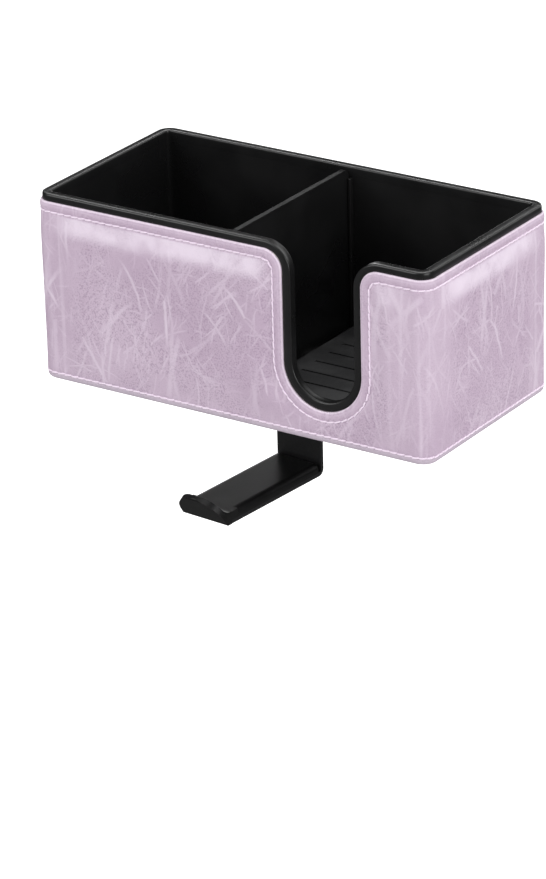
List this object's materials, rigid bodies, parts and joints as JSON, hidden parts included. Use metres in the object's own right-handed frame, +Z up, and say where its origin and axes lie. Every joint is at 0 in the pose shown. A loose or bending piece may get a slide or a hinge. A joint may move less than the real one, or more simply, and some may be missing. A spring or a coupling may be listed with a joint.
{
  "type": "desk clamp cup holder",
  "caption": "Leather-wrapped tray with a notched mug bay and a phone bay, on a screw clamp for a desk edge, with a swivelling headphone hook underneath.",
  "frame": {"origin": "centre of the upper jaw pad's contact face, where it rests on the desk's top", "axes": "+X along the tray's long side, +Y from the tray towards the desk, +Z up"},
  "size_m": [0.198, 0.1671, 0.143],
  "materials": {
    "leather": "soft lilac coated leather with a fine grain and pale creases",
    "foam": "closed-cell foam sheet",
    "tray_black": "satin moulded plastic",
    "mat_rubber": "matt rubber",
    "frame_black": "fine-textured black powder coat",
    "moulded_black": "satin moulded plastic",
    "zinc_steel": "bright zinc plate",
    "dark_screws": "black oxide",
    "brass": "turned",
    "nylon": "natural nylon"
  },
  "bodies": {
    "tray_and_clamp": {"tray_shell": "tray_black", "foam_liner": "foam", "leather_wrap": "leather", "base_panel": "tray_black", "base_screws": "dark_screws", "cup_mat": "mat_rubber", "phone_mat": "mat_rubber", "support_bracket": "frame_black", "shelf_screws": "zinc_steel", "shelf_inserts": "brass", "wall_sleeves": "zinc_steel", "frame_bolts": "zinc_steel", "frame_nuts": "zinc_steel", "clamp_frame": "frame_black", "jaw_pad": "mat_rubber", "edge_pad": "mat_rubber", "jaw_bush": "brass", "pivot_bolt": "zinc_steel", "pivot_washer": "nylon", "spring_washer": "zinc_steel", "pivot_nut": "zinc_steel"},
    "pressure_foot": {"pressure_plate": "zinc_steel", "pressure_pad": "mat_rubber"},
    "screw": {"clamp_screw": "zinc_steel", "clamp_knob": "moulded_black", "knob_pin": "zinc_steel", "knob_cap": "moulded_black", "foot_clip": "zinc_steel"},
    "hook": {"swivel_hub": "moulded_black", "pivot_bush": "brass", "hub_cap": "moulded_black", "hook_strip": "frame_black", "strip_screws": "dark_screws", "hook_saddle": "moulded_black", "saddle_screws": "dark_screws"},
    "divider": {"divider_panel": "tray_black"}
  },
  "joints": [
    {"name": "foot_travel", "type": "slide", "parent": "tray_and_clamp", "child": "pressure_foot", "axis": [0, 0, 1], "range_m": [-0.024, 0.015]},
    {"name": "screw_turn", "type": "hinge", "parent": "pressure_foot", "child": "screw", "pos_m": [0, 0, -0.05], "axis": [0, 0, 1], "range_deg": [-2890, 1810]},
    {"name": "hook_swivel", "type": "hinge", "parent": "tray_and_clamp", "child": "hook", "pos_m": [0, -0.061, -0.063], "axis": [0, 0, 1], "range_deg": [-85, 95]},
    {"name": "divider_lift", "type": "slide", "parent": "tray_and_clamp", "child": "divider", "axis": [0, 0, 1], "range_m": [0, 0.07]}
  ],
  "couplings": [
    {"joint": "screw_turn", "follows": "foot_travel", "rad_per_m": 2094.4}
  ]
}
